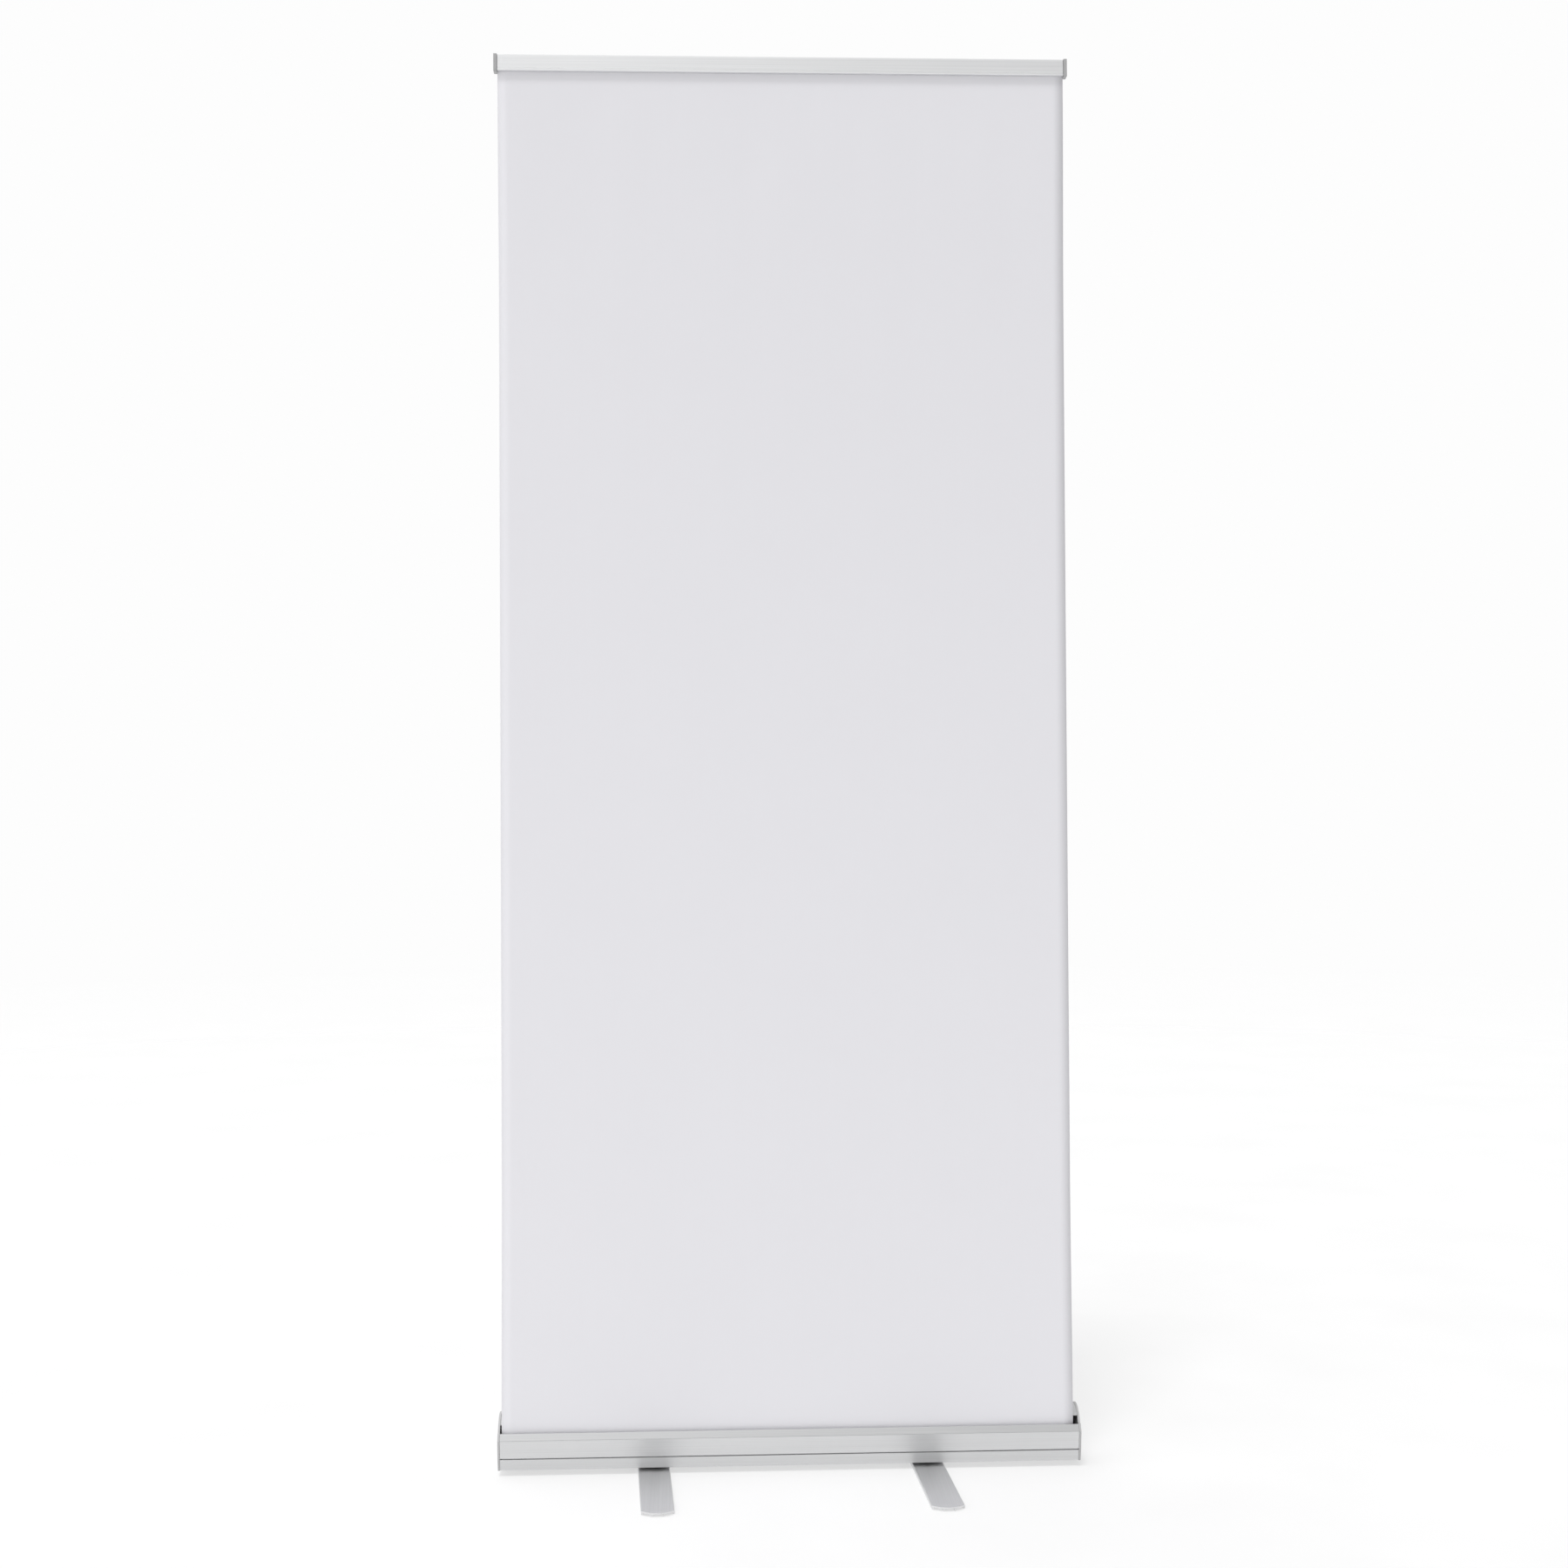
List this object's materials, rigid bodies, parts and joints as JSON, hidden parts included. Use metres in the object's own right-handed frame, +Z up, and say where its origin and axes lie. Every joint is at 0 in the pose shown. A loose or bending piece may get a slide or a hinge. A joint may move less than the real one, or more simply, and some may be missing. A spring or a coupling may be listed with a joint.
{
  "type": "roll-up banner stand",
  "caption": "Free-standing display: a blank banner pulled up from a sprung aluminium cassette on swivel feet, held in a clamp rail by a sectional pole.",
  "frame": {"origin": "floor level, middle of the feet front to back, middle of the cassette left to right", "axes": "+Z up, the banner faces -Y, +X to the right seen from the front"},
  "size_m": [0.8655, 0.4086, 2.1117],
  "materials": {
    "satin_aluminium": "satin, silver anodised",
    "grey_plastic": "grey moulded",
    "plated_steel": "zinc plated",
    "black_plastic": "black moulded",
    "banner_film": "white matt film",
    "elastic_cord": "black elastic cord"
  },
  "bodies": {
    "cassette": {"cassette_shell": "satin_aluminium", "front_cover": "satin_aluminium", "end_cap_left": "grey_plastic", "end_cap_right": "grey_plastic", "cap_screw_left_1": "plated_steel", "cap_screw_left_2": "plated_steel", "cap_screw_left_3": "plated_steel", "cap_screw_right_1": "plated_steel", "cap_screw_right_2": "plated_steel", "cap_screw_right_3": "plated_steel", "pole_socket": "black_plastic", "spring_axle": "plated_steel", "spring_collar": "black_plastic", "torsion_spring": "plated_steel", "idle_pin": "plated_steel", "foot_bolt_left": "plated_steel", "foot_bolt_right": "plated_steel", "foot_nut_left": "plated_steel", "foot_nut_right": "plated_steel", "foot_washer_left": "black_plastic", "foot_washer_right": "black_plastic"},
    "roller": {"roller_tube": "satin_aluminium", "roller_plug_left": "black_plastic", "roller_plug_right": "black_plastic", "banner_roll": "banner_film"},
    "rail": {"banner": "banner_film", "rail_back_jaw": "satin_aluminium", "rail_cap_left": "grey_plastic", "rail_cap_right": "grey_plastic"},
    "rail_jaw": {"rail_front_jaw": "satin_aluminium"},
    "pole": {"pole_lower": "satin_aluminium", "pole_middle": "satin_aluminium", "pole_upper": "satin_aluminium", "pole_ferrule_lower": "plated_steel", "pole_ferrule_upper": "plated_steel", "pole_foot_plug": "black_plastic", "pole_head": "grey_plastic", "pole_cord": "elastic_cord"},
    "left_foot": {"foot_left": "satin_aluminium"},
    "right_foot": {"foot_right": "satin_aluminium"}
  },
  "joints": [
    {"name": "banner_retract", "type": "slide", "parent": "cassette", "child": "rail", "axis": [0, 0.0173, 0.9998], "range_m": [-2.002, 0], "deforming": ["banner"]},
    {"name": "roller_spin", "type": "hinge", "parent": "cassette", "child": "roller", "pos_m": [0, 0.00584, 0.04], "axis": [1, 0, 0], "range_deg": [0, 6410]},
    {"name": "rail_jaw_open", "type": "hinge", "parent": "rail", "child": "rail_jaw", "pos_m": [-0.0025, 0.02527, 2.10657], "axis": [-1, 0, 0], "range_deg": [0, 35]},
    {"name": "pole_lift", "type": "slide", "parent": "cassette", "child": "pole", "axis": [0, 0, 1], "range_m": [0, 0.18]},
    {"name": "left_foot_swivel", "type": "hinge", "parent": "cassette", "child": "left_foot", "pos_m": [-0.204, 0.012, 0.004], "axis": [0, 0, 1], "range_deg": [-92.6, 0]},
    {"name": "right_foot_swivel", "type": "hinge", "parent": "cassette", "child": "right_foot", "pos_m": [0.204, 0.012, 0.004], "axis": [0, 0, 1], "range_deg": [-2.6, 87.4]}
  ],
  "couplings": [
    {"joint": "roller_spin", "follows": "banner_retract", "rad_per_m": -55.866}
  ]
}
